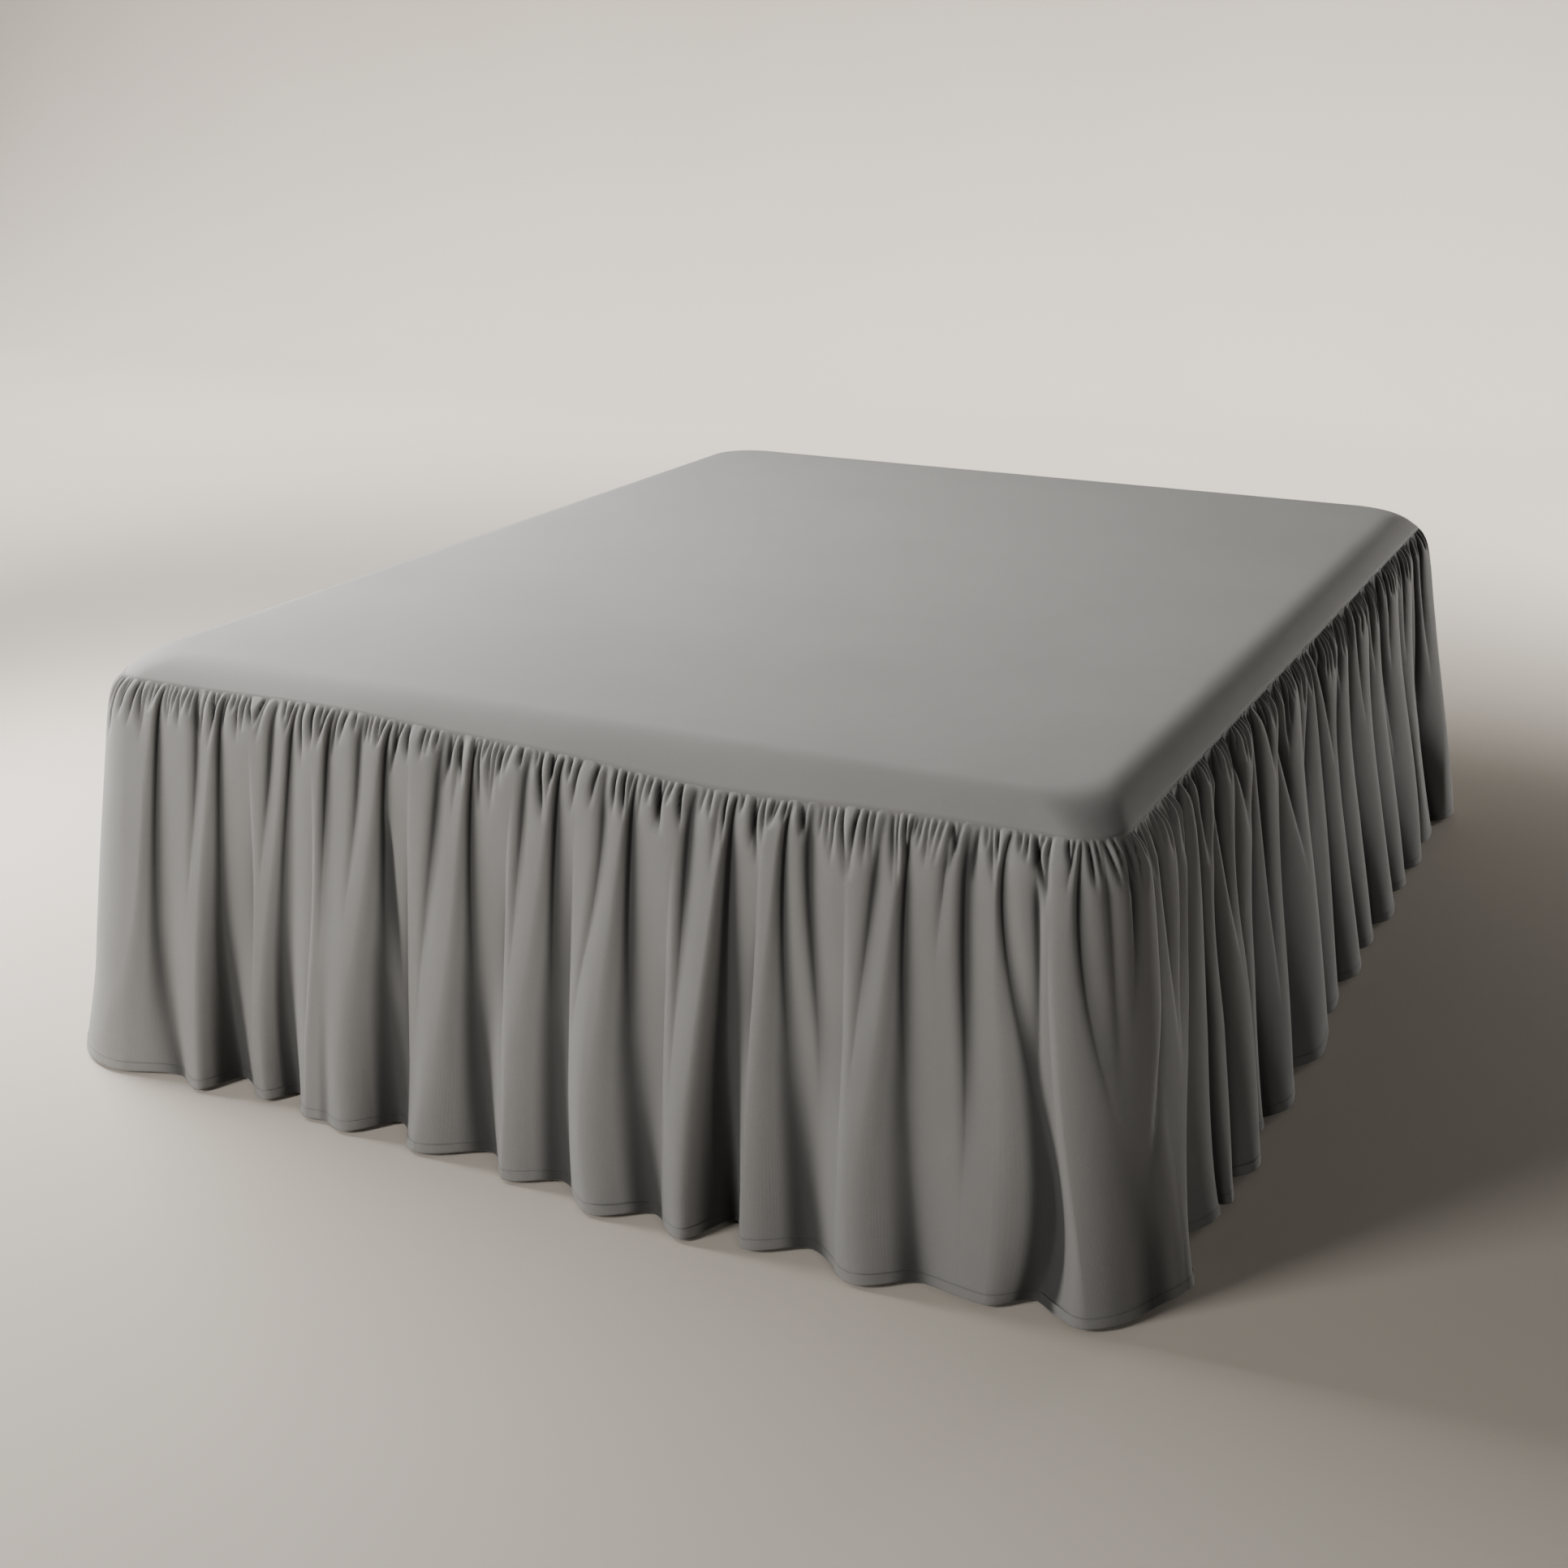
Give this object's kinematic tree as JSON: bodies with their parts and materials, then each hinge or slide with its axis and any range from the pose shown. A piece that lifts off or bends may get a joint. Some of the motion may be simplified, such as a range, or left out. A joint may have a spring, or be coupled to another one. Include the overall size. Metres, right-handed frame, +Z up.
{
  "type": "bed skirt on a bed base",
  "caption": "Gathered bed skirt: a flat deck over a rounded bed base, with a full-length ruffle in soft uneven folds on the foot and both sides.",
  "frame": {"origin": "on the floor, under the middle of the bed base", "axes": "+Z up, +Y towards the head of the bed, -Y is the foot end, +X to the right seen from the foot"},
  "size_m": [1.836, 2.246, 0.646],
  "materials": {
    "skirt_cloth": "matte plain-woven microfibre, mid warm grey",
    "base_cover": "plain pale cover cloth",
    "leg_wood": "satin light wood"
  },
  "bodies": {
    "root": {"deck": "skirt_cloth", "ruffle_foot": "skirt_cloth", "ruffle_left": "skirt_cloth", "ruffle_right": "skirt_cloth", "slab": "base_cover", "leg_foot_left": "leg_wood", "leg_foot_right": "leg_wood", "leg_head_left": "leg_wood", "leg_head_right": "leg_wood"}
  },
  "joints": []
}
